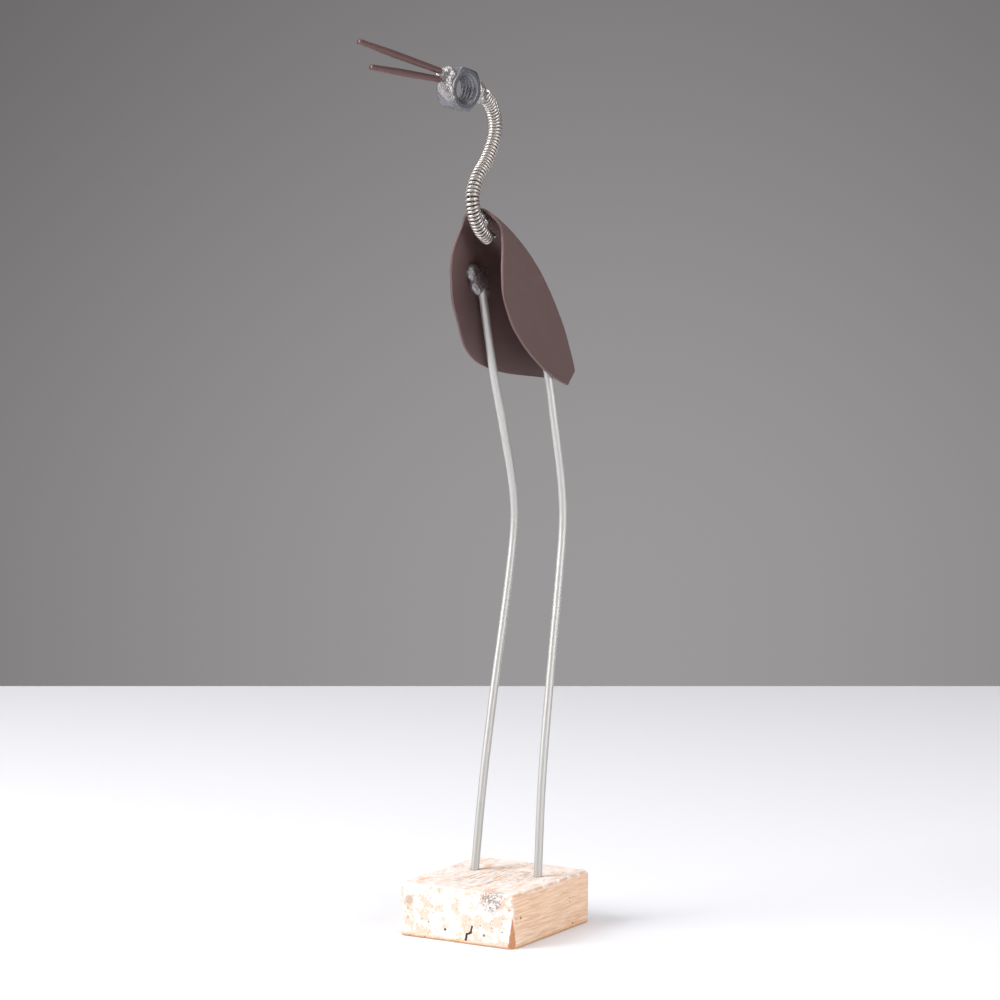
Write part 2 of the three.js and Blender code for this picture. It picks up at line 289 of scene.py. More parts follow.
class Paint:
    """A material in the making."""

    def __init__(self, name, **finish):
        self.material = bpy.data.materials.new(name)
        self.material.use_nodes = True
        self.tree = self.material.node_tree
        self.shader = self.tree.nodes["Principled BSDF"]
        self.set(**finish)
        self.here = self.get("ShaderNodeTexCoord", {}, {}, "Object")
        self.x, self.y, self.z = (self.axis(name) / millimetre for name in "XYZ")

    def get(self, kind, settings, sockets, output=0):
        """Adds a node, sets it up, fills its sockets with values or links, and hands back one output."""
        node = self.tree.nodes.new(kind)
        for setting, value in settings.items():
            setattr(node, setting, value)
        for place, value in sockets.items():
            self.fill(node.inputs[place], value)
        return Amount(self, node.outputs[output])

    def fill(self, socket, value):
        value = getattr(value, "socket", value)
        if isinstance(value, bpy.types.NodeSocket):
            self.tree.links.new(value, socket)
        else:
            socket.default_value = (*value, 1) if socket.type == "RGBA" and len(value) == 3 else value

    def set(self, **finish):
        """Sets the shader's own sockets, such as base_color or roughness."""
        for name, value in finish.items():
            label = name.replace("_", " ").title().replace("Ior", "IOR")
            self.fill(self.shader.inputs[label], value)

    def mark(self, name):
        return self.get("ShaderNodeAttribute", {"attribute_name": name}, {}, "Fac")

    def axis(self, name, where=None):
        return self.get("ShaderNodeSeparateXYZ", {}, {0: where or self.here}, name)

    def vectors(self, operation, first, second, output=0):
        return self.get("ShaderNodeVectorMath", {"operation": operation}, {0: first, 1: second}, output)

    def stretched(self, amounts, where=None):
        """The place on the surface, with distances multiplied by an amount along each axis."""
        return self.vectors("MULTIPLY", where or self.here, amounts)

    def ragged(self, size, amount):
        """The place on the surface, pushed about by up to an amount, to give shapes a ragged outline."""
        push = self.get("ShaderNodeTexNoise", {}, {
            "Vector": self.here, "Scale": 1 / (size * millimetre), "Detail": 3,
        }, "Color")
        shift = self.vectors("MULTIPLY", self.vectors("SUBTRACT", push, (0.5, 0.5, 0.5)),
                             (2 * amount * millimetre,) * 3)
        return self.vectors("ADD", self.here, shift)

    def cloud(self, size, detail=3, roughness=0.55, where=None):
        """Soft patches, 0 to 1, of about that size in millimetres."""
        return self.get("ShaderNodeTexNoise", {}, {
            "Vector": where or self.here, "Scale": 1 / (size * millimetre), "Detail": detail,
            "Roughness": roughness,
        })

    def specks(self, spacing, where=None):
        """Distance to the nearest of many scattered points, as a share of their spacing."""
        return self.get("ShaderNodeTexVoronoi", {"feature": "F1"}, {
            "Vector": where or self.here, "Scale": 1 / (spacing * millimetre),
        }, "Distance")

    def near(self, centre, reach, where=None):
        """1 at a place given in millimetres, falling softly to 0 at that distance from it."""
        place = tuple(part * millimetre for part in centre)
        return self.vectors("DISTANCE", where or self.here, place, "Value").rise(reach * millimetre, 0)

    def grey(self, amount):
        """A colour with the same amount of red, green and blue."""
        return self.get("ShaderNodeCombineColor", {}, {0: amount, 1: amount, 2: amount})

    def tinted(self, colour, amount):
        """A colour made lighter or darker by an amount around 1."""
        return self.vectors("MULTIPLY", colour, self.grey(amount))

    def mix(self, amount, first, second):
        """The first colour where the amount is 0 and the second where it is 1."""
        return self.get("ShaderNodeMix", {"data_type": "RGBA"}, {0: amount, 6: first, 7: second}, 2)

    def bump(self, height, depth, strength=1.0):
        """Small relief. The depth in millimetres is what a height of 1 stands for."""
        normal = self.get("ShaderNodeBump", {}, {
            "Height": height, "Distance": depth * millimetre, "Strength": strength,
        })
        self.set(normal=normal)


# %% First finishes
wire_paint = Paint("galvanised_wire", base_color=(0.55, 0.54, 0.52), roughness=0.5, metallic=0.7)
sheet_paint = Paint("oxidised_sheet", base_color=(0.16, 0.1, 0.095), roughness=0.55, metallic=0.4)
coil_paint = Paint("worn_spring_wire", base_color=(0.5, 0.46, 0.43), roughness=0.35, metallic=0.9)
nut_paint = Paint("dark_nut_steel", base_color=(0.2, 0.2, 0.22), roughness=0.4, metallic=0.9)
bill_paint = Paint("browned_rod", base_color=(0.16, 0.09, 0.085), roughness=0.45, metallic=0.6)
weld_paint = Paint("weld_metal", base_color=(0.35, 0.33, 0.33), roughness=0.35, metallic=0.8)

# %% [markdown]
# ## Legs
#
# The legs are two lengths of galvanised fence wire. Each was bent once at the knee, welded inside the folded
# sheet at the top and pushed into a drilled hole in the block at the bottom.

# %% Leg wires
middle_x = 1.3
wire_diameter = 3.1
hole_depth = 14.0
leg_stops = {
    "right": [(-5.4, -0.6, 234.5), (-7.3, 10.5, 204.2), (-8.7, 20.0, 182.9), (-9.4, 28.5, 158.5),
              (-9.7, 29.8, 146.5), (-10.0, 26.2, 125.1), (-10.7, 17.1, 86.5), (-11.3, 9.9, 51.6),
              (-11.9, 5.1, 19.7)],
    "left": [(6.3, 19.6, 222.0), (9.1, 22.4, 201.7), (10.9, 24.2, 183.4), (11.8, 28.0, 159.6),
             (12.2, 27.9, 146.5), (12.6, 24.3, 126.7), (13.3, 15.9, 86.3), (13.9, 9.9, 53.9),
             (14.5, 6.0, 19.7)],
}


def way_down(side):
    """The direction of the lowest stretch of a leg."""
    step = np.subtract(leg_stops[side][-1], leg_stops[side][-2])
    return step / np.linalg.norm(step)


for seed, side in enumerate(leg_stops, start=1):
    end = leg_stops[side][-1] + way_down(side) * hole_depth
    line = smooth_line([*leg_stops[side], end], 420)
    rings = rings_round(line, lambda share, angles: wire_diameter / 2, 28)
    outward = (rings - line[:, None, :]) / (wire_diameter / 2)
    swelling = unevenness(rings * [1, 1, 0.35], 2.2, seed, 2)
    rings = rings + outward * (0.045 * swelling - 0.02)[..., None]
    points, faces = capped(rings)
    piece_from(side + "_leg_wire", mesh_from(side + "_leg_wire", points, faces), wire_paint.material,
               side + "_leg")

# %% [markdown]
# ## Body
#
# The body is one leaf of sheet about a millimetre thick. It was cut out flat and then folded over, so that the
# ridge runs down from the neck to the tail and the two flanks hang at its sides. The fold is tighter at the
# tail. A place on the sheet is given by its distance along the ridge, its distance across the sheet from the
# ridge, and its depth under the outer face. The same rule bends every layer, so the sheet keeps its thickness.

# %% The rule of the fold
sheet_thickness = 1.0
ridge_front = (-14.1, 263.5)
ridge_radius = 112.0
ridge_front_slope = math.radians(20)
ridge_length = 90.5
fold_radius = (8.6, 5.3)
flank_splay = (math.radians(8.5), math.radians(14.5))
ridge_centre = (ridge_front[0] - ridge_radius * math.sin(ridge_front_slope),
                ridge_front[1] - ridge_radius * math.cos(ridge_front_slope))


def fold_shape(along):
    """Radius of the fold and how far round it the sheet bends before it runs straight."""
    share = np.clip(np.asarray(along) / ridge_length, 0, 1)
    radius = fold_radius[0] + (fold_radius[1] - fold_radius[0]) * share
    bend = math.pi / 2 - (flank_splay[0] + (flank_splay[1] - flank_splay[0]) * share)
    return radius, bend


def folded(along, across, depth):
    """Where a place on the sheet ends up."""
    radius, bend = fold_shape(along)
    angle = np.minimum(np.abs(across) / radius, bend)
    straight = np.maximum(np.abs(across) - radius * bend, 0)
    half_width = (radius - depth) * np.sin(angle) + straight * np.cos(bend)
    below = radius - (radius - depth) * np.cos(angle) + straight * np.sin(bend)
    slope = ridge_front_slope + along / ridge_radius
    return np.stack([middle_x + np.sign(across) * half_width,
                     ridge_centre[0] + (ridge_radius - below) * np.sin(slope),
                     ridge_centre[1] + (ridge_radius - below) * np.cos(slope)], axis=-1)


def unfolded(side_view, depth=sheet_thickness / 2):
    """The place along and across the sheet that is seen at a point of the side view."""
    away = np.asarray(side_view, float) - ridge_centre
    along = (np.arctan2(away[..., 0], away[..., 1]) - ridge_front_slope) * ridge_radius
    below = ridge_radius - np.hypot(away[..., 0], away[..., 1])
    radius, bend = fold_shape(along)
    bent_below = radius - (radius - depth) * np.cos(bend)
    angle = np.arccos(np.clip((radius - below) / (radius - depth), -1, 1))
    across = np.where(below < bent_below, radius * angle, radius * bend + (below - bent_below) / np.sin(bend))
    return np.stack([along, across], axis=-1)


# %% [markdown]
# Each flank was trimmed with shears. Its cut edge is given as seen from the side, and unfolding it gives the
# outline of the flat blank. The leaf is then filled between its four edges, as cloth is stretched in a frame.

# %% The flat blank
flank_edges = {
    "right": [(-12.9, 257), (-16.2, 249.5), (-16.6, 242.5), (-13.2, 230.5), (-8.2, 221.5), (-2.8, 213.2),
              (3.4, 208.1), (10.8, 204.9), (20.1, 202.5), (29.8, 201.1), (41, 199.8), (54, 197.5)],
    "left": [(-10.9, 257), (-11.4, 250), (-14.0, 241.5), (-14.9, 232), (-11.2, 221.8), (-5.0, 215.2),
             (2.4, 209.8), (12.3, 204.6), (20.1, 201.7), (29, 199.2), (38.4, 197.2), (54, 194)],
}
flank_corner = {"right": 230.5, "left": 232.0}
sheet_rows = 150
sheet_columns = 190


def evenly(line, count):
    """The same line through evenly spaced points."""
    reach = np.r_[0, np.cumsum(np.linalg.norm(np.diff(line, axis=0), axis=1))]
    even = np.linspace(0, reach[-1], count)
    return np.stack([np.interp(even, reach, line[:, axis]) for axis in range(line.shape[1])], axis=1)


def cut_edge(side):
    """The front edge and the lower edge of a flank on the flat blank."""
    rim = [(ridge_front[0], ridge_front[1] - 0.5), (ridge_front[0], ridge_front[1] - 2)]
    seen = np.array([(0.0, *point) for point in [*rim, *flank_edges[side]]])
    seen = smooth_line(seen, 1200)[:, 1:]
    blank = unfolded(seen)
    blank[0] = (0.2, 0)
    turn = int(np.argmin(np.abs(seen[:, 1] - flank_corner[side])))
    end = int(np.argmax(blank[:, 0] > ridge_length))
    blank[end, 0] = ridge_length
    if side == "right":
        blank = blank * [1, -1]
    return blank[:turn + 1], blank[turn:end + 1]


right_front, right_low = cut_edge("right")
left_front, left_low = cut_edge("left")
front = evenly(np.vstack([right_front[::-1], left_front[1:]]), sheet_columns)
right, left = evenly(right_low, sheet_rows), evenly(left_low, sheet_rows)
tail = evenly(np.array([right[-1], left[-1]]), sheet_columns)
down = np.linspace(0, 1, sheet_rows)[:, None, None]
over = np.linspace(0, 1, sheet_columns)[None, :, None]
blank = ((1 - down) * front[None] + down * tail[None] + (1 - over) * right[:, None] + over * left[:, None]
         - (1 - down) * (1 - over) * front[0] - (1 - down) * over * front[-1]
         - down * (1 - over) * tail[0] - down * over * tail[-1])
print("blank:", np.ptp(blank[..., 0]).round(1), "mm along,", np.ptp(blank[..., 1]).round(1), "mm across")

# %% [markdown]
# The cut edge is rounded a little by handling and rust. The two faces of the sheet are the same blank folded at
# two depths, and a half-round rim joins them.

# %% Fold the blank into a solid sheet
rows, columns = blank.shape[:2]
grid = np.arange(rows * columns).reshape(rows, columns)
rim_loop = np.concatenate([grid[0, :-1], grid[:-1, -1], grid[-1, :0:-1], grid[:0:-1, 0]])
edge = blank.reshape(-1, 2)[rim_loop]
ahead = np.roll(edge, -1, axis=0) - np.roll(edge, 1, axis=0)
outward = np.stack([-ahead[:, 1], ahead[:, 0]], axis=1) / np.linalg.norm(ahead, axis=1)[:, None]
centre = edge.mean(axis=0)
outward *= np.sign(np.sum(outward * (edge - centre), axis=1).mean())
rim_round = 0.3


def sheet_layer(places, depth):
    """Folds places of the blank at one depth, with the dents that go through the whole sheet."""
    points = folded(places[:, 0], places[:, 1], depth)
    level = folded(places[:, 0], places[:, 1], np.zeros(len(places)))
    inward = folded(places[:, 0], places[:, 1], np.ones(len(places))) - level
    keep = np.clip((ridge_length - places[:, 0]) / 12, 0, 1)
    dents = 0.16 * unevenness(level, 14, 3, 2) + 0.05 * unevenness(level, 4, 4, 2)
    return points + inward * (dents * keep)[:, None]


inset = blank.reshape(-1, 2).copy()
inset[rim_loop] -= outward * rim_round
layers = [sheet_layer(inset, np.full(rows * columns, 0.0)),
          sheet_layer(inset, np.full(rows * columns, sheet_thickness))]
inside = [np.zeros(rows * columns), np.ones(rows * columns)]
rim = [np.zeros(rows * columns), np.zeros(rows * columns)]
flat_places = [inset, inset]
rim_steps = 5
for step in range(1, rim_steps + 1):
    turn = math.pi * (step / (rim_steps + 1) - 0.5)
    places = edge - outward * rim_round * (1 - math.cos(turn))
    depth = sheet_thickness * (0.5 + 0.5 * math.sin(turn))
    layers.append(sheet_layer(places, np.full(len(edge), depth)))
    inside.append(np.full(len(edge), depth / sheet_thickness))
    rim.append(np.ones(len(edge)))
    flat_places.append(places)

faces = skin(rows, columns, closed=False)
faces += [tuple(reversed([corner + rows * columns for corner in face])) for face in faces]
rim_rings = [rim_loop, *[2 * rows * columns + np.arange(len(edge)) + step * len(edge) for step in range(rim_steps)],
             rim_loop + rows * columns]
for upper, lower in zip(rim_rings, rim_rings[1:]):
    for here in range(len(edge)):
        beside = (here + 1) % len(edge)
        faces.append((int(upper[beside]), int(upper[here]), int(lower[here]), int(lower[beside])))
places = np.vstack(flat_places)
sheet_mesh = mesh_from("body_leaf", np.vstack(layers), faces, {
    "along": places[:, 0], "across": places[:, 1], "inside": np.concatenate(inside), "rim": np.concatenate(rim),
})
build = bmesh.new()
build.from_mesh(sheet_mesh)
bmesh.ops.recalc_face_normals(build, faces=build.faces)
build.to_mesh(sheet_mesh)
build.free()
piece_from("body_leaf", sheet_mesh, sheet_paint.material, "body_sheet")

# %% [markdown]
# ## Welds inside the body
#
# Each leg ends in a lump of weld against the sheet.

# %% Leg welds
right_weld = [((-6.2, -1.0, 236.2), (2.6, 5.2, 4.6)), ((-6.9, -4.6, 240.2), (2.2, 3.4, 3.2)),
              ((-7.3, 2.4, 239.4), (1.9, 3.4, 3.0)), ((-6.0, 1.6, 233.0), (2.2, 2.6, 3.4))]
left_weld = [((7.4, 18.6, 224.2), (2.4, 4.2, 3.6)), ((8.2, 20.8, 221.4), (2.0, 3.0, 2.8)),
             ((7.2, 19.6, 219.6), (2.1, 2.3, 3.0))]


def kept_off_sheet(points, depth):
    """Moves points that lie beyond a depth of the sheet back to it."""
    places = unfolded(points[:, 1:], 0.0)
    along = places[:, 0]
    radius, bend = fold_shape(along)
    below = ridge_radius - np.hypot(points[:, 1] - ridge_centre[0], points[:, 2] - ridge_centre[1])
    half_width = np.abs(points[:, 0] - middle_x)
    angle = np.arctan2(half_width, radius - below)
    in_bend = angle < bend
    lying = radius - np.hypot(half_width, radius - below)
    standing = (-(half_width - radius * np.sin(bend)) * np.sin(bend)
                + (below - radius + radius * np.cos(bend)) * np.cos(bend))
    push = np.maximum(depth - np.where(in_bend, lying, standing), 0)
    turn = np.where(in_bend, angle, bend)
    slope = ridge_front_slope + along / ridge_radius
    moved = points.copy()
    moved[:, 0] -= np.sign(points[:, 0] - middle_x) * push * np.sin(turn)
    moved[:, 1] -= push * np.cos(turn) * np.sin(slope)
    moved[:, 2] -= push * np.cos(turn) * np.cos(slope)
    return moved


for side, lumps, seed in (("right", right_weld, 11), ("left", left_weld, 12)):
    points, faces = weld_mesh(side + "_leg_weld", lumps, 0.28, 0.22, seed)
    points = kept_off_sheet(points, 0.7)
    piece_from(side + "_leg_weld", mesh_from(side + "_leg_weld", points, faces), weld_paint.material,
               side + "_leg")

# %% [markdown]
# ## Neck
#
# The neck is a close-wound spring, bent into an S. Its lower end goes in under the front of the sheet, and its
# upper end is welded to the back of the nut. Geometry Nodes wind the wire: a point goes round the neck's line
# as it moves along it, and a round section follows that point.

# %% A node tree that winds a wire round a line
def winding_tree():
    tree = bpy.data.node_groups.new("wire_wound_round_a_line", "GeometryNodeTree")
    face = tree.interface
    face.new_socket("Line", in_out="INPUT", socket_type="NodeSocketGeometry")
    for label, kind, value in (("Coil Radius", "Float", 0.002), ("Wire Radius", "Float", 0.0005),
                               ("Pitch", "Float", 0.0013), ("Steps Per Turn", "Int", 28),
                               ("Wire Sides", "Int", 10), ("Looseness", "Float", 0.5)):
        face.new_socket(label, in_out="INPUT", socket_type="NodeSocket" + kind).default_value = value
    face.new_socket("Finish", in_out="INPUT", socket_type="NodeSocketMaterial")
    face.new_socket("Wire", in_out="OUTPUT", socket_type="NodeSocketGeometry")
    given = tree.nodes.new("NodeGroupInput")

    def step(kind, settings, *inputs):
        node = tree.nodes.new(kind)
        for setting, value in settings.items():
            setattr(node, setting, value)
        for place, value in enumerate(inputs):
            if isinstance(value, bpy.types.NodeSocket):
                tree.links.new(value, node.inputs[place])
            elif value is not None:
                node.inputs[place].default_value = value
        return node.outputs[0]

    def maths(operation, *inputs):
        return step("ShaderNodeMath", {"operation": operation}, *inputs)

    def vectors(operation, *inputs):
        return step("ShaderNodeVectorMath", {"operation": operation}, *inputs)

    line = step("GeometryNodeMeshToCurve", {}, given.outputs["Line"])
    turns = maths("DIVIDE", step("GeometryNodeCurveLength", {}, line), given.outputs["Pitch"])
    count = maths("ROUND", maths("MULTIPLY", turns, given.outputs["Steps Per Turn"]))
    resample = tree.nodes.new("GeometryNodeResampleCurve")
    resample.mode = "COUNT"
    tree.links.new(line, resample.inputs["Curve"])
    tree.links.new(count, resample.inputs["Count"])
    travelled = tree.nodes.new("GeometryNodeSplineParameter").outputs["Length"]
    ahead = step("GeometryNodeInputTangent", {})
    turned = maths("DIVIDE", travelled, given.outputs["Pitch"])
    wander = tree.nodes.new("ShaderNodeTexNoise")
    wander.noise_dimensions = "1D"
    tree.links.new(turned, wander.inputs["W"])
    wander.inputs["Scale"].default_value = 0.45
    slack = maths("MULTIPLY", maths("SUBTRACT", wander.outputs[0], 0.5), given.outputs["Looseness"])
    angle = maths("MULTIPLY", maths("ADD", turned, slack), full_turn)
    across = vectors("CROSS_PRODUCT", ahead, (1, 0, 0))
    sideways = step("ShaderNodeCombineXYZ", {}, maths("COSINE", angle))
    other = tree.nodes.new("ShaderNodeVectorMath")
    other.operation = "SCALE"
    tree.links.new(across, other.inputs[0])
    tree.links.new(maths("SINE", angle), other.inputs["Scale"])
    reach = tree.nodes.new("ShaderNodeVectorMath")
    reach.operation = "SCALE"
    tree.links.new(vectors("ADD", sideways, other.outputs[0]), reach.inputs[0])
    tree.links.new(given.outputs["Coil Radius"], reach.inputs["Scale"])
    remember = tree.nodes.new("GeometryNodeStoreNamedAttribute")
    remember.data_type = "FLOAT"
    remember.domain = "POINT"
    remember.inputs["Name"].default_value = "travelled"
    tree.links.new(resample.outputs[0], remember.inputs["Geometry"])
    tree.links.new(travelled, remember.inputs["Value"])
    wound = tree.nodes.new("GeometryNodeSetPosition")
    tree.links.new(remember.outputs[0], wound.inputs["Geometry"])
    tree.links.new(reach.outputs[0], wound.inputs["Offset"])
    section = tree.nodes.new("GeometryNodeCurvePrimitiveCircle")
    tree.links.new(given.outputs["Wire Sides"], section.inputs["Resolution"])
    tree.links.new(given.outputs["Wire Radius"], section.inputs["Radius"])
    drawn = tree.nodes.new("GeometryNodeCurveToMesh")
    tree.links.new(wound.outputs[0], drawn.inputs["Curve"])
    tree.links.new(section.outputs[0], drawn.inputs["Profile Curve"])
    drawn.inputs["Fill Caps"].default_value = True
    smooth = step("GeometryNodeSetShadeSmooth", {}, drawn.outputs[0])
    real = step("GeometryNodeRealizeInstances", {}, smooth)
    finished = tree.nodes.new("GeometryNodeSetMaterial")
    tree.links.new(real, finished.inputs["Geometry"])
    tree.links.new(given.outputs["Finish"], finished.inputs["Material"])
    result = tree.nodes.new("NodeGroupOutput")
    tree.links.new(finished.outputs[0], result.inputs["Wire"])
    return tree


# %% Wind the neck
spring_diameter = 5.4
spring_pitch = 1.3
spring_wire = 1.1
neck_stops = [(middle_x, -10.6, 303.4), (middle_x, -5.1, 299.1), (middle_x, -2.4, 293.0), (middle_x, -3.4, 287.3),
              (middle_x, -8.3, 280.1), (middle_x, -15.2, 273.3), (middle_x, -18.0, 267.0),
              (middle_x, -16.6, 261.0), (middle_x, -12.4, 255.5), (middle_x, -6.6, 252.0)]
neck_line = smooth_line(neck_stops, 240)


def wound_wire(name, line, finish, **sizes):
    """Winds a wire round a line by the node tree and hands back a plain mesh."""
    mesh = bpy.data.meshes.new(name + "_line")
    mesh.from_pydata((line * millimetre).tolist(), [(k, k + 1) for k in range(len(line) - 1)], [])
    holder = bpy.data.objects.new(name + "_line", mesh)
    bpy.context.scene.collection.objects.link(holder)
    wind = holder.modifiers.new("wind", "NODES")
    wind.node_group = winding_tree()
    named = {item.name: item.identifier for item in wind.node_group.interface.items_tree}
    for label, value in sizes.items():
        wind[named[label.replace("_", " ").title()]] = value
    wind[named["Finish"]] = finish
    holder.update_tag()
    wound = bpy.data.meshes.new_from_object(holder.evaluated_get(bpy.context.evaluated_depsgraph_get()))
    wound.name = name
    bpy.data.objects.remove(holder)
    return wound


coil_mesh = wound_wire("neck_coil", neck_line, coil_paint.material,
                       coil_radius=(spring_diameter - spring_wire) / 2 * millimetre,
                       wire_radius=spring_wire / 2 * millimetre, pitch=spring_pitch * millimetre,
                       steps_per_turn=28, wire_sides=10, looseness=0.35)
piece_from("neck_coil", coil_mesh, coil_paint.material, "neck_spring")

# %% [markdown]
# ## Head
#
# The head is a nut lying on its side, so that its hole makes the eye. It is turned a little towards the bird's
# right, and its left face looks slightly down. In the head's own frame the bill points along -X, up is +Y and
# the hole runs along Z.

# %% The head's frame and the nut
nut_across_flats = 14.6
nut_across_corners = 16.5
nut_thickness = 8.0
nut_chamfer = (13.9 / 2, 0.9)
thread_radius = (4.25, 5.0)
thread_pitch = 1.5
countersink_radius = 5.4
nut_pitch = math.radians(13)
head_yaw = math.radians(12)
backward = Vector((math.sin(head_yaw), math.cos(head_yaw), 0))
upward = Matrix.Rotation(math.radians(4.5), 3, backward) @ Vector((0, 0, 1))
leftward = backward.cross(upward)
head_place = Matrix.Translation((-1.3, -22.8, 305.1)) @ Matrix((backward, upward, leftward)).transposed().to_4x4()


def in_head(points):
    """Points of the head's frame, moved to where the head is."""
    turn = np.array(head_place)
    return np.asarray(points, float) @ turn[:3, :3].T + turn[:3, 3]


def nut_outline(angle):
    """Distance from the hole's axis to the nut's side at an angle, with worn corners."""
    sixth = full_turn / 6
    off_flat = (angle + nut_pitch) % sixth - sixth / 2
    side = nut_across_flats / 2 / np.cos(off_flat)
    corner = nut_across_corners / 2
    softness = 0.12
    return -softness * np.log(np.exp(-side / softness) + np.exp(-corner / softness))


around = np.arange(360) * full_turn / 360 + math.radians(17)
face = nut_thickness / 2
outer = nut_outline(around)
chamfer_slope = nut_chamfer[1] / (nut_across_corners / 2 - nut_chamfer[0])
ring_radius, ring_place = [], []


def add_ring(radius, place):
    ring_radius.append(np.broadcast_to(radius, around.shape).copy())
    ring_place.append(np.broadcast_to(place, around.shape).copy())


for place in np.linspace(-face, face, 112):
    turns = place / thread_pitch - around / full_turn
    tooth = np.abs((turns % 1) * 2 - 1)
    tooth = np.clip(tooth * 1.25 - 0.12, 0, 1)
    thread = thread_radius[0] + (thread_radius[1] - thread_radius[0]) * tooth
    add_ring(np.maximum(thread, countersink_radius - (face - abs(place))), place)
for share in (0.25, 0.5, 0.75, 1.0):
    add_ring(countersink_radius + share * (nut_chamfer[0] - countersink_radius), face)
for share in (0.33, 0.67, 1.0):
    radius = nut_chamfer[0] + share * np.maximum(outer - nut_chamfer[0], 0.01)
    add_ring(radius, face - (radius - nut_chamfer[0]) * chamfer_slope)
side_top = face - np.maximum(outer - nut_chamfer[0], 0.01) * chamfer_slope
for share in np.linspace(0.04, 0.96, 22):
    add_ring(outer, side_top * (1 - 2 * share))
for share in (1.0, 0.67, 0.33):
    radius = nut_chamfer[0] + share * np.maximum(outer - nut_chamfer[0], 0.01)
    add_ring(radius, -face + (radius - nut_chamfer[0]) * chamfer_slope)
for share in (1.0, 0.75, 0.5, 0.25):
    add_ring(countersink_radius + share * (nut_chamfer[0] - countersink_radius), -face)
ring_radius, ring_place = np.array(ring_radius), np.array(ring_place)
nut_points = np.stack([ring_radius * np.cos(around), ring_radius * np.sin(around), ring_place], axis=-1)
wear = unevenness(nut_points, 2.5, 21, 3)
nut_points[..., :2] *= 1 - (0.006 + 0.006 * wear)[..., None]
rings, steps = nut_points.shape[:2]
nut_faces = skin(rings, steps) + [((rings - 1) * steps + k, (rings - 1) * steps + (k + 1) % steps, (k + 1) % steps, k)
                                  for k in range(steps)]
nut_mesh = mesh_from("eye_nut", in_head(nut_points.reshape(-1, 3)), nut_faces)
build = bmesh.new()
build.from_mesh(nut_mesh)
bmesh.ops.recalc_face_normals(build, faces=build.faces)
build.to_mesh(nut_mesh)
build.free()
piece_from("eye_nut", nut_mesh, nut_paint.material, "head_nut")

# %% Welds of the head and neck
bill_weld = [((-7.6, 2.2, 0.5), (3.0, 5.2, 3.2)), ((-6.8, 5.2, 1.2), (2.6, 2.8, 2.8)),
             ((-7.0, -0.6, 1.4), (2.9, 3.0, 2.8)), ((-8.8, 4.4, -0.4), (2.2, 2.8, 2.4)),
             ((-6.2, -2.6, 2.0), (2.2, 2.2, 2.2))]
neck_weld = [((10.0, -1.2, 0.6), (2.8, 3.6, 2.3)), ((9.4, 1.2, 0.2), (2.2, 2.2, 2.0)),
             ((10.6, -3.2, 1.0), (2.2, 2.2, 1.9))]
rim_weld = [((1.9, -13.6, 259.6), (2.0, 2.6, 2.6)), ((2.6, -12.2, 258.0), (1.7, 2.0, 2.4))]
for name, lumps, place, stands_for, slot, seed in (
        ("bill_weld", bill_weld, head_place, "head_nut", "dark_steel", 31),
        ("neck_weld", neck_weld, head_place, "neck_spring", "spring_steel", 32),
        ("rim_weld", rim_weld, None, "neck_spring", "spring_steel", 33)):
    points, faces = weld_mesh(name, lumps, 0.2, 0.16, seed, place)
    if name == "rim_weld":
        points = kept_off_sheet(points, 0.7)
    piece_from(name, mesh_from(name, points, faces), weld_paint.material, stands_for)

# %% [markdown]
# ## Bill
#
# The bill is two rods that taper to tips cut off with pliers.

# %% Bill rods
bill_diameters = (2.35, 2.7, 2.1)
bill_rods = {"upper": ((-9.8, 6.0, 0.0), (-50.5, 15.2, 0.0)), "lower": ((-9.8, 3.05, 0.0), (-44.0, 6.6, 0.0))}


def soft_step(value):
    value = np.clip(value, 0, 1)
    return value * value * (3 - 2 * value)


def bill_radius(share):
    fullest = 0.55
    swollen = bill_diameters[0] + (bill_diameters[1] - bill_diameters[0]) * soft_step(share / fullest)
    return (swollen + (bill_diameters[2] - swollen) * soft_step((share - fullest) / (1 - fullest))) / 2


for seed, (name, (root, tip)) in enumerate(bill_rods.items(), start=41):
    line = np.linspace(root, tip, 160)
    rings = rings_round(line, lambda share, angles: bill_radius(share), 26)
    swelling = unevenness(rings * [0.3, 1, 1], 1.6, seed, 2)
    rings = rings - (rings - line[:, None, :]) * (0.04 + 0.03 * swelling)[..., None]
    points, faces = capped(rings)
    piece_from(name + "_bill_rod", mesh_from(name + "_bill_rod", in_head(points), faces), bill_paint.material,
               name + "_bill")

# %% [markdown]
# ## Block
#
# The block is an offcut of softwood with its grain along Y. It was whitewashed, and years outdoors wore its
# edges round and let the weather into the grain. Its sides are rings stacked up from the underside. Its top
# and underside are filled with triangles, so that the two drilled holes can be cut tight round the wires.
#
# The wear is carved inwards, so the block never outgrows the solid it stands for: broad hollows, grooves that
# follow the grain, and ragged bites along the edges.

# %% The block's rings
block_size = (48.6, 55.8, 19.7)
block_corner = 2.4
top_wear, bottom_wear = 1.7, 0.8
chip_height, chip_depth = 11.0, 0.9
outline_steps = 440
top_spacing = 0.5
hole_clearance = 0.08


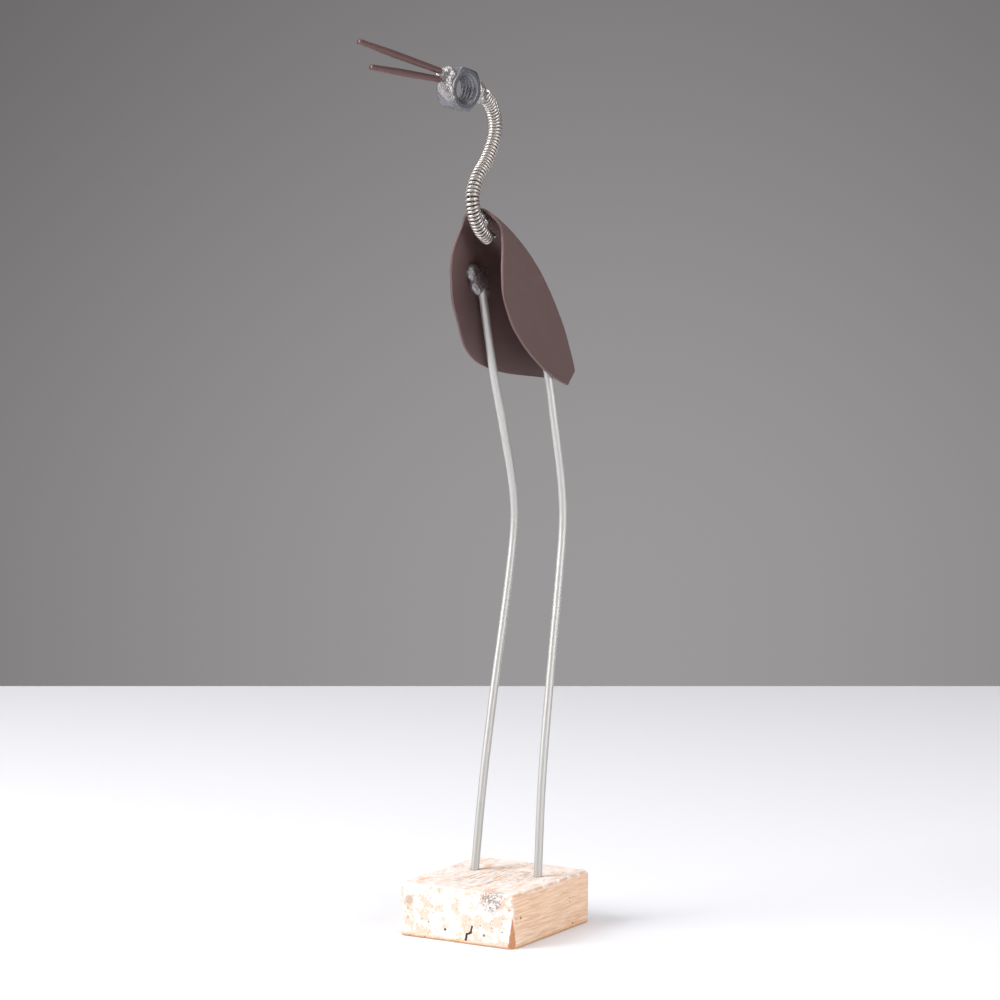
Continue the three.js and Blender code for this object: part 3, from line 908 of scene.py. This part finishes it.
def block_outline(inset):
    """The rounded rectangle seen from above: evenly spaced points and the directions outwards."""
    x, y = block_size[0] / 2 - inset - block_corner, block_size[1] / 2 - inset - block_corner
    line, outwards = [], []
    for quarter, (sign_x, sign_y) in enumerate(((1, 1), (-1, 1), (-1, -1), (1, -1))):
        turn = (quarter + np.linspace(0, 1, 10)) * math.pi / 2
        arc = np.stack([np.cos(turn), np.sin(turn)], axis=1)
        line.append((sign_x * x, sign_y * y) + block_corner * arc)
        outwards.append(arc)
    line = np.vstack([*line, line[0][:1]])
    outwards = np.vstack([*outwards, outwards[0][:1]])
    both = evenly(np.hstack([line, outwards * 1e-6]), outline_steps + 1)[:-1]
    outwards = both[:, 2:] / np.linalg.norm(both[:, 2:], axis=1)[:, None]
    return both[:, :2], outwards


edge_turns = [(turn, bottom_wear * (1 - math.sin(turn)), bottom_wear * (1 - math.cos(turn)))
              for turn in np.linspace(math.pi / 2, 0, 8)]
levels = [(-turn, level, inset) for turn, level, inset in edge_turns]
levels += [(0.0, level, 0.0) for level in np.linspace(bottom_wear, block_size[2] - top_wear, 44)[1:-1]]
levels += [(turn, block_size[2] - top_wear * (1 - math.sin(turn)), top_wear * (1 - math.cos(turn)))
           for turn in np.linspace(0, math.pi / 2, 12)]
levels = [(turn, level, inset) for turn, level, inset in levels]
ring_points, ring_normals = [], []
for turn, level, inset in levels:
    line, outwards = block_outline(inset)
    ring_points.append(np.column_stack([line, np.full(len(line), level)]))
    ring_normals.append(np.column_stack([outwards * math.cos(turn), np.full(len(line), math.sin(turn))]))
print("block:", len(levels), "rings of", outline_steps)

# %% The drilled holes and the two flat faces


def hole_rings(side):
    """Rings down the drilled hole of a leg, from the top of the block to its bottom."""
    down = way_down(side)
    foot = np.array(leg_stops[side][-1], float)
    turns = np.arange(40) * full_turn / 40
    first = np.cross(down, (0, 1, 0))
    first = first / np.linalg.norm(first)
    spokes = np.cos(turns)[:, None] * first + np.sin(turns)[:, None] * np.cross(down, first)
    mouth = foot + spokes * (wire_diameter / 2 + hole_clearance)
    mouth = mouth - down * (mouth[:, 2:] - foot[2]) / down[2]
    return [mouth + down * depth for depth in (0.0, 0.6, 2.5, 7.0, hole_depth + 0.3)]


def filled(boundary, holes, spacing):
    """Triangles over a flat outline less its holes: (all points, faces), with the given points first."""
    loops = [boundary, *holes]
    fixed = np.vstack([loop[:, :2] for loop in loops])
    low, high = boundary[:, :2].min(axis=0), boundary[:, :2].max(axis=0)
    grid = np.stack(np.meshgrid(np.arange(low[0], high[0], spacing), np.arange(low[1], high[1], spacing)),
                    axis=-1).reshape(-1, 2)
    grid = grid + 0.3 * spacing * np.stack([unevenness(np.column_stack([grid, grid[:, 0]]), 0.7, 51, 1),
                                            unevenness(np.column_stack([grid, grid[:, 1]]), 0.7, 52, 1)], axis=1)
    inner = (np.abs(grid) < high - 0.6 * spacing).all(axis=1)
    corner = np.maximum(np.abs(grid) - (high - block_corner), 0)
    inner &= np.hypot(*corner.T) < block_corner - 0.6 * spacing
    for hole in holes:
        middle = hole[:, :2].mean(axis=0)
        inner &= np.hypot(*(grid - middle).T) > wire_diameter / 2 + hole_clearance + 0.5 * spacing
    grid = grid[inner]
    edges, start = [], 0
    for loop in loops:
        count = len(loop)
        edges += [(start + k, start + (k + 1) % count) for k in range(count)]
        start += count
    points = np.vstack([fixed, grid])
    found = delaunay_2d_cdt([Vector(point) for point in points], edges, [list(range(len(boundary)))], 1, 1e-5)
    # No grid point lies in a hole, so a face across one has all its corners on that hole's loop.
    loop_of = np.repeat(np.arange(len(loops) + 1), [*map(len, loops), len(grid)])
    faces = []
    for face in found[2]:
        corners = [found[3][corner][0] for corner in face]
        touched = set(loop_of[corners].tolist())
        in_hole = len(touched) == 1 and 0 < min(touched) < len(loops)
        if not in_hole:
            faces.append(tuple(corners))
    return points, faces


holes = [hole_rings(side) for side in leg_stops]
top_points, top_faces = filled(ring_points[-1], [rings[0] for rings in holes], top_spacing)
under_points, under_faces = filled(ring_points[0], [], 1.6)
ring_count = len(levels) * outline_steps
parts, normals = [np.vstack(ring_points)], [np.vstack(ring_normals)]
faces = skin(len(levels), outline_steps)
start = ring_count
top_index = np.r_[np.arange(ring_count - outline_steps, ring_count),
                  start + np.arange(len(top_points) - outline_steps)]
parts.append(np.column_stack([top_points[outline_steps:], np.full(len(top_points) - outline_steps, block_size[2])]))
normals.append(np.tile((0.0, 0.0, 1.0), (len(parts[-1]), 1)))
faces += [tuple(int(top_index[corner]) for corner in face) for face in top_faces]
start += len(parts[-1])
under_index = np.r_[np.arange(outline_steps), start + np.arange(len(under_points) - outline_steps)]
parts.append(np.column_stack([under_points[outline_steps:], np.zeros(len(under_points) - outline_steps)]))
normals.append(np.tile((0.0, 0.0, -1.0), (len(parts[-1]), 1)))
faces += [tuple(int(under_index[corner]) for corner in reversed(face)) for face in under_faces]
start += len(parts[-1])
mouth = ring_count
for rings in holes:
    count = len(rings[0])
    loops = [mouth + np.arange(count)]
    for ring in rings[1:]:
        parts.append(ring)
        normals.append(np.zeros((count, 3)))
        loops.append(start + np.arange(count))
        start += count
    for upper, lower in zip(loops, loops[1:]):
        faces += [(int(upper[k]), int(upper[(k + 1) % count]), int(lower[(k + 1) % count]), int(lower[k]))
                  for k in range(count)]
    faces.append(tuple(int(corner) for corner in loops[-1]))
    mouth += count
block_points, block_normals = np.vstack(parts), np.vstack(normals)

# %% Carve the wear
grain_place = block_points * [1, 0.06, 1]
on_top = np.clip(block_normals[:, 2], 0, 1)
on_end = np.abs(block_normals[:, 1]) > 0.9
on_edge = np.clip(1 - np.abs(2 * np.abs(block_normals[:, 2]) - 1), 0, 1)
hollows = 0.10 + 0.10 * unevenness(block_points, 11, 61, 2)
grooves = 0.5 + unevenness(grain_place, 0.8, 62, 2)
bites = 0.16 + 0.28 * unevenness(block_points, 3.2, 63, 3)
pitting = np.clip(unevenness(block_points, 1.1, 64, 2) - 0.25, 0, 1)
carved = hollows + np.where(on_end, 0.22 * pitting, 0.05 * grooves) + on_edge * bites
carved += np.where(block_points[:, 2] > block_size[2] - 0.01, 0.04 * grooves, 0)
carved = np.clip(carved, 0, 1) * np.clip(block_points[:, 2] / 1.2, 0, 1)
carved_points = block_points - block_normals * carved[:, None]
chip_lean = math.atan(chip_depth / chip_height)
chip_off = block_corner * (1 - math.sqrt(0.5))
chip_top = np.array([block_size[0] / 2 - chip_off, chip_off - block_size[1] / 2, chip_height])
chip_way = np.array([math.sqrt(0.5) * math.cos(chip_lean), -math.sqrt(0.5) * math.cos(chip_lean),
                     -math.sin(chip_lean)])
beyond = np.maximum((carved_points - chip_top) @ chip_way, 0)
carved_points -= (beyond * (1 + 0.12 * unevenness(grain_place * [1, 1, 0.2], 0.5, 65, 2)))[:, None] * chip_way
carved_points[:, 2] = np.maximum(carved_points[:, 2], 0)

# %% [markdown]
# The wood is pale peach under the wash. The end grain at the front took the wash in chalky patches, the long
# grain at the sides shows fine tan lines, and grey weather lies in the grain of the top. Worn edges are tan.

# %% Old whitewashed wood
wood = Paint("old_whitewashed_wood", roughness=0.88)
wood.set(specular_ior_level=0.25)
along_grain = wood.stretched((1, 0.045, 1))
ragged = wood.ragged(1.5, 0.5)
top = wood.z.rise(18.0, 19.0)
front = (-wood.y).rise(26.2, 27.2)
back = wood.y.rise(26.2, 27.2)
ends = front.at_least(back)
lines = wood.cloud(0.5, 4, 0.65, along_grain)
broad = wood.cloud(7, 3)
speckle = wood.cloud(0.45, 3, 0.7)
colour = wood.mix(lines.rise(0.36, 0.64), rgb(216, 172, 136), rgb(244, 217, 193))
colour = wood.mix(broad.rise(0.3, 0.7) * 0.5, colour, rgb(238, 202, 174))
end_colour = wood.mix(speckle.rise(0.34, 0.62), rgb(222, 184, 158), rgb(247, 226, 210))
colour = wood.mix(ends, colour, end_colour)

chalk = wood.cloud(4.2, 4, 0.65)
front_chalk = front * chalk.rise(0.44, 0.54) * wood.z.rise(0.6, 3.0)
front_chalk = front_chalk.at_least(wood.near((-3, -27.9, 6.5), 9, ragged).rise(0.1, 0.5) * chalk.rise(0.36, 0.5))
colour = wood.mix(front_chalk * 0.8, colour, rgb(252, 246, 242))
side_chalk = (1 - ends) * wood.cloud(9, 3, 0.6, wood.stretched((1, 0.3, 1))).rise(0.5, 0.7)
colour = wood.mix(side_chalk * 0.3, colour, rgb(250, 236, 224))

wash = wood.cloud(2.6, 4, 0.7, wood.stretched((1, 0.3, 1))).rise(0.34, 0.5)
colour = wood.mix(top * wash * 0.9, colour, rgb(250, 247, 246))
streaks = wood.cloud(0.9, 5, 0.72, wood.stretched((1, 0.11, 1)))
where = wood.cloud(8, 2, 0.5, wood.stretched((1, 0.5, 1)))
middle = wood.near((0, -3, 19.7), 30).rise(0.1, 0.75)
dirt = top * streaks.rise(0.50, 0.66) * (where.rise(0.36, 0.56) * 0.75 + 0.25) * middle
colour = wood.mix(dirt * 0.85, colour, rgb(112, 104, 104))
fine_dirt = top * wood.cloud(0.3, 3, 0.7, wood.stretched((1, 0.25, 1))).rise(0.56, 0.7) * middle
colour = wood.mix(fine_dirt * 0.4, colour, rgb(90, 84, 84))

edge_line = wood.z.hump(19.0, 0.9) * (1 - front) * wood.cloud(2.5, 3).rise(0.3, 0.55)
colour = wood.mix(edge_line * 0.75, colour, rgb(208, 150, 98))
front_edge = wood.z.hump(18.8, 1.0) * front * wood.cloud(2.0, 3).rise(0.42, 0.6)
colour = wood.mix(front_edge * 0.6, colour, rgb(222, 164, 118))
foot_line = (wood.z + wood.cloud(2.2, 3) * 1.6).rise(2.2, 1.0)
colour = wood.mix(foot_line * 0.75, colour, rgb(206, 154, 96))

scuff = wood.near((15, -27.9, 17.2), 8.5, ragged).rise(0.15, 0.7) * wood.cloud(0.8, 4, 0.7).rise(0.42, 0.58)
colour = wood.mix(scuff * 0.8, colour, rgb(120, 108, 106))
smudge = wood.near((-19.5, -27.9, 13.6), 3.6, ragged).rise(0.1, 0.8) * speckle.rise(0.4, 0.55)
colour = wood.mix(smudge * 0.6, colour, rgb(150, 132, 122))
for centre, reach in (((-20.2, -27.9, 7.1), 1.1), ((-20.3, -27.9, 10.4), 0.8), ((-9.5, -27.9, 9.8), 0.6)):
    colour = wood.mix(wood.near(centre, reach, ragged).rise(0.1, 0.6) * 0.6, colour, rgb(205, 128, 104))
stain = wood.near((1.0, -27.9, 2.4), 3.8, ragged).rise(0.3, 0.6) * wood.cloud(1.4, 3).rise(0.48, 0.56)
colour = wood.mix(stain * 0.6, colour, rgb(214, 178, 104))

chip = wood.vectors("DOT_PRODUCT", wood.here, (0.7071, -0.7071, 0), "Value") / millimetre
on_chip = wood.vectors("DOT_PRODUCT", wood.get("ShaderNodeNewGeometry", {}, {}, "Normal"),
                       (0.7071, -0.7071, 0), "Value").rise(0.985, 0.997) * wood.z.rise(11.2, 10.2) * chip.rise(33, 34)
colour = wood.mix(on_chip * 0.9, colour, wood.mix(lines, rgb(176, 106, 62), rgb(214, 150, 100)))
# Round each foot the wood is stained rust-brown. A near-black ring at the mouth of the hole is painted shade in the
# gap round the wire.
for side in leg_stops:
    foot = leg_stops[side][-1]
    colour = wood.mix(wood.near(foot, 3.4, ragged).rise(0.15, 0.7) * 0.7, colour, rgb(160, 100, 66))
    colour = wood.mix(wood.near(foot, 2.2).rise(0.05, 0.35) * 0.8, colour, rgb(70, 48, 38))

# Cracks and pits are painted near-black as painted shade inside them. The same mask also sinks them in the bump.
shaded_hollow = wood.near((-4.4, -27.9, 4.3), 0.75).rise(0.1, 0.5)
for top_end, low_end, width in (((6.9, 6.4), (6.5, 4.4), 0.42), ((6.3, 4.4), (4.7, 3.6), 0.34),
                                ((4.8, 3.8), (4.5, 1.6), 0.5)):
    for share in np.linspace(0, 1, 5):
        spot = (top_end[0] + (low_end[0] - top_end[0]) * share, -27.9, top_end[1] + (low_end[1] - top_end[1]) * share)
        shaded_hollow = shaded_hollow.at_least(wood.near(spot, width + 0.3, ragged).rise(0.1, 0.55))
for spot, reach in (((12.0, -27.9, 3.9), 0.8), ((10.4, -27.9, 7.3), 0.45), ((-11.5, -27.9, 6.2), 0.6),
                    ((24.3, -22.6, 10.8), 0.9), ((24.3, 14.8, 1.8), 0.7), ((19.6, -27.9, 6.0), 0.5)):
    shaded_hollow = shaded_hollow.at_least(wood.near(spot, reach, ragged).rise(0.15, 0.6) * 0.8)
pits = ends * wood.specks(1.9, ragged).rise(0.16, 0.08)
shaded_hollow = shaded_hollow.at_least(pits * 0.55)
colour = wood.mix(shaded_hollow, colour, rgb(58, 42, 36))
curls = wood.near((24.3, 13.4, 11.0), 2.6, ragged).at_least(wood.near((24.3, 13.7, 5.6), 2.2, ragged))
curl_lines = (wood.specks(1.3, ragged) * 9).sum("SINE", wood.specks(1.3, ragged) * 9).rise(0.5, 0.9)
colour = wood.mix(curls.rise(0.15, 0.6) * curl_lines * 0.65, colour, rgb(112, 86, 72))
contrast = wood.cloud(0.28, 2, 0.6)
wood.set(base_color=wood.tinted(colour, contrast * 0.36 + 0.80), roughness=lines * 0.1 + 0.82)
wood.bump(lines * (1 - ends) * 0.8 + speckle * 0.7 + streaks * top * 0.8 - shaded_hollow * 3.0 - pits, 0.16, 0.8)
block_mesh = mesh_from("weathered_block", carved_points, faces)
piece_from("weathered_block", block_mesh, wood.material, "wooden_base")

# %% [markdown]
# ## Stage
#
# The figure stands on a plain white table in front of a grey wall that glows with painted light, brighter low
# down and towards the middle. The table's far edge is square to the camera. A large soft light stands at the left,
# a weaker one fills in from the right, and one hangs above.

# %% Table and wall
camera_turn = math.radians(31)
to_right = Vector((math.cos(camera_turn), math.sin(camera_turn), 0))
to_back = Vector((-math.sin(camera_turn), math.cos(camera_turn), 0))


def stage_sheet(name, corners, material):
    """A plain flat sheet of the stage, in a frame turned with the camera."""
    mesh = bpy.data.meshes.new(name)
    mesh.from_pydata(corners, [], [(0, 1, 2, 3)])
    mesh.materials.append(material)
    sheet = bpy.data.objects.new(name, mesh)
    sheet.rotation_euler = (0, 0, camera_turn)
    bpy.context.scene.collection.objects.link(sheet)
    sheet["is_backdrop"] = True


table_paint = Paint("white_table", base_color=rgb(238, 238, 242), roughness=0.75)
wall_paint = Paint("grey_wall_painted_glow", base_color=(0.0, 0.0, 0.0), roughness=1.0, specular_ior_level=0.0)
# The wall has no lit colour of its own. It glows with painted light, brighter low down and towards the middle.
painted_wall_glow = (wall_paint.z / 1000).rise(0.7, -0.15) * 0.45 + 0.6
painted_wall_glow = painted_wall_glow * ((wall_paint.x / 1000 - 0.12).hump(0, 1.1) * 0.5 + 0.5)
wall_paint.set(emission_color=wall_paint.tinted(rgb(152, 149, 150), painted_wall_glow), emission_strength=1.0)
stage_sheet("table", [(-1.6, -1.6, 0), (1.6, -1.6, 0), (1.6, 0.587, 0), (-1.6, 0.587, 0)], table_paint.material)
stage_sheet("wall", [(-3, 2.2, -1.5), (3, 2.2, -1.5), (3, 2.2, 2.5), (-3, 2.2, 2.5)], wall_paint.material)

# %% Light
world = bpy.data.worlds.new("studio")
bpy.context.scene.world = world
world.use_nodes = True
world.node_tree.nodes["Background"].inputs["Color"].default_value = (0.24, 0.24, 0.245, 1)
world.node_tree.nodes["Background"].inputs["Strength"].default_value = 1.0


def soft_light(name, right, back, height, size, power, aim_height=0.12):
    """A soft rectangle of light, placed to the right and back of the figure and aimed at it."""
    data = bpy.data.lights.new(name, "AREA")
    data.shape = "RECTANGLE"
    data.size, data.size_y = size
    data.energy = power
    light = bpy.data.objects.new(name, data)
    light.location = to_right * right + to_back * back + Vector((0, 0, height))
    light.rotation_euler = (Vector((0, 0, aim_height)) - light.location).to_track_quat("-Z", "Y").to_euler()
    bpy.context.scene.collection.objects.link(light)


soft_light("key", -0.95, -0.30, 0.75, (0.55, 0.9), 15)
soft_light("fill", 0.9, -0.85, 0.55, (0.8, 0.8), 9)
soft_light("top", 0.0, 0.1, 1.25, (1.0, 1.0), 7)

# %% Camera
bpy.context.scene.view_settings.view_transform = "Standard"
lens = bpy.data.cameras.new("camera")
lens.sensor_width = 36
lens.lens = 122.4
lens.clip_start, lens.clip_end = 0.05, 20
camera = bpy.data.objects.new("camera", lens)
camera.location = (0.6327, -1.0497, 0.2765)
camera.rotation_euler = (math.radians(90 - 5.54), 0, camera_turn)
bpy.context.scene.collection.objects.link(camera)
bpy.context.scene.camera = camera

# %% Sizes
box_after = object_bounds()
for name, box in (("solids", box_before), ("pieces", box_after)):
    print(name, "box in mm:", [[round(1000 * place, 2) for place in corner] for corner in box])
